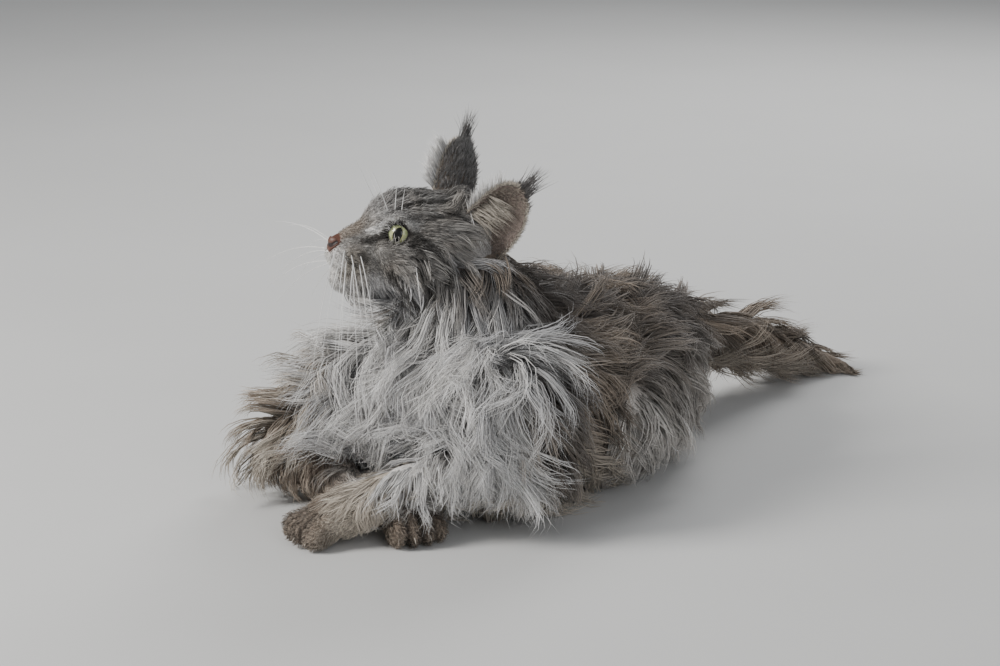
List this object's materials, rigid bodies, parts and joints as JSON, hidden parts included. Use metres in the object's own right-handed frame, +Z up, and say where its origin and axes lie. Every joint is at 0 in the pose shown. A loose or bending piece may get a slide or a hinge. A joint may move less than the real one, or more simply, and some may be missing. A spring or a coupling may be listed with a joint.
{
  "type": "maine coon cat",
  "caption": "Life-size still model of a long-haired silver tabby cat lying on its chest, forepaws crossed, head raised and turned to its right, with ruff, tufted ears and plumed tail.",
  "frame": {"origin": "on the floor under the chest, midway between the elbows' line and the belly, where the body rests", "axes": "+Z up, -Y the way the body faces, +X to the cat's own left"},
  "size_m": [0.348, 0.756, 0.3427],
  "materials": {
    "coat": "long silver tabby fur",
    "eye": "wet, pale green iris with an upright oval pupil",
    "nose": "damp brick-coloured skin",
    "whisker": "stiff white hair",
    "claw": "pale horn"
  },
  "bodies": {
    "root": {"eye_left": "eye", "eye_right": "eye", "forepaw_left": "coat", "forepaw_right": "coat", "forearm_left": "coat", "forearm_right": "coat", "hind_foot_left": "coat", "hind_foot_right": "coat", "torso": "coat", "neck": "coat", "head": "coat", "ear_left": "coat", "ear_right": "coat", "thigh_left": "coat", "thigh_right": "coat", "upper_arm_left": "coat", "upper_arm_right": "coat", "tail_base": "coat", "tail_middle": "coat", "tail_tip": "coat"}
  },
  "joints": []
}
